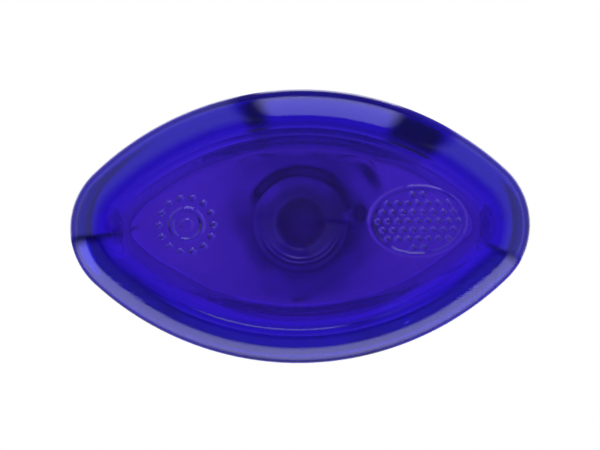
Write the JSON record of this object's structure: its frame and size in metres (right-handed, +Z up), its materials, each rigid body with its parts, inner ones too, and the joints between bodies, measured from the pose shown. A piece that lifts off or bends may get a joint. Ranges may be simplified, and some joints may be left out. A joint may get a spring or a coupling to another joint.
{
  "type": "swing top bottle",
  "caption": "Blue moulded bottle of pointed-oval section with a recessed base and a round neck, shut by a wire swing closure with a lever, bail and sealed stopper.",
  "frame": {"origin": "centre of the base on the resting plane", "axes": "+Z up the bottle to the mouth, X along the long axis of the oval section, -Y the front where the lever lies when shut"},
  "size_m": [0.092, 0.0548, 0.2402],
  "materials": {
    "blue_pet": "gloss, translucent cobalt blue",
    "strap_steel": "satin",
    "bush_steel": "turned",
    "wire_steel": "bright drawn wire",
    "white_porcelain": "gloss glaze",
    "white_plastic": "moulded",
    "red_rubber": "matt"
  },
  "bodies": {
    "bottle": {"bottle_body": "blue_pet", "neck_band": "strap_steel", "band_screw": "strap_steel", "band_nut": "strap_steel", "pivot_bush_left": "bush_steel", "pivot_bush_right": "bush_steel"},
    "lever": {"lever_wire": "wire_steel"},
    "bail": {"bail_wire": "wire_steel"},
    "stopper": {"stopper_head": "white_porcelain", "stopper_core": "white_plastic", "stopper_gasket": "red_rubber"}
  },
  "joints": [
    {"name": "lever_swing", "type": "hinge", "parent": "bottle", "child": "lever", "pos_m": [0, 0, 0.186], "axis": [-1, 0, 0], "range_deg": [0, 200]},
    {"name": "bail_pivot", "type": "hinge", "parent": "lever", "child": "bail", "pos_m": [0, 0.00132, 0.17659], "axis": [-1, 0, 0], "range_deg": [-169.6, 0]},
    {"name": "stopper_swivel", "type": "hinge", "parent": "bail", "child": "stopper", "pos_m": [0, 0, 0.2316], "axis": [-1, 0, 0], "range_deg": [-30.4, 0]}
  ],
  "couplings": [
    {"joint": "bail_pivot", "follows": "lever_swing", "ratio": -0.848},
    {"joint": "stopper_swivel", "follows": "lever_swing", "ratio": -0.152}
  ]
}
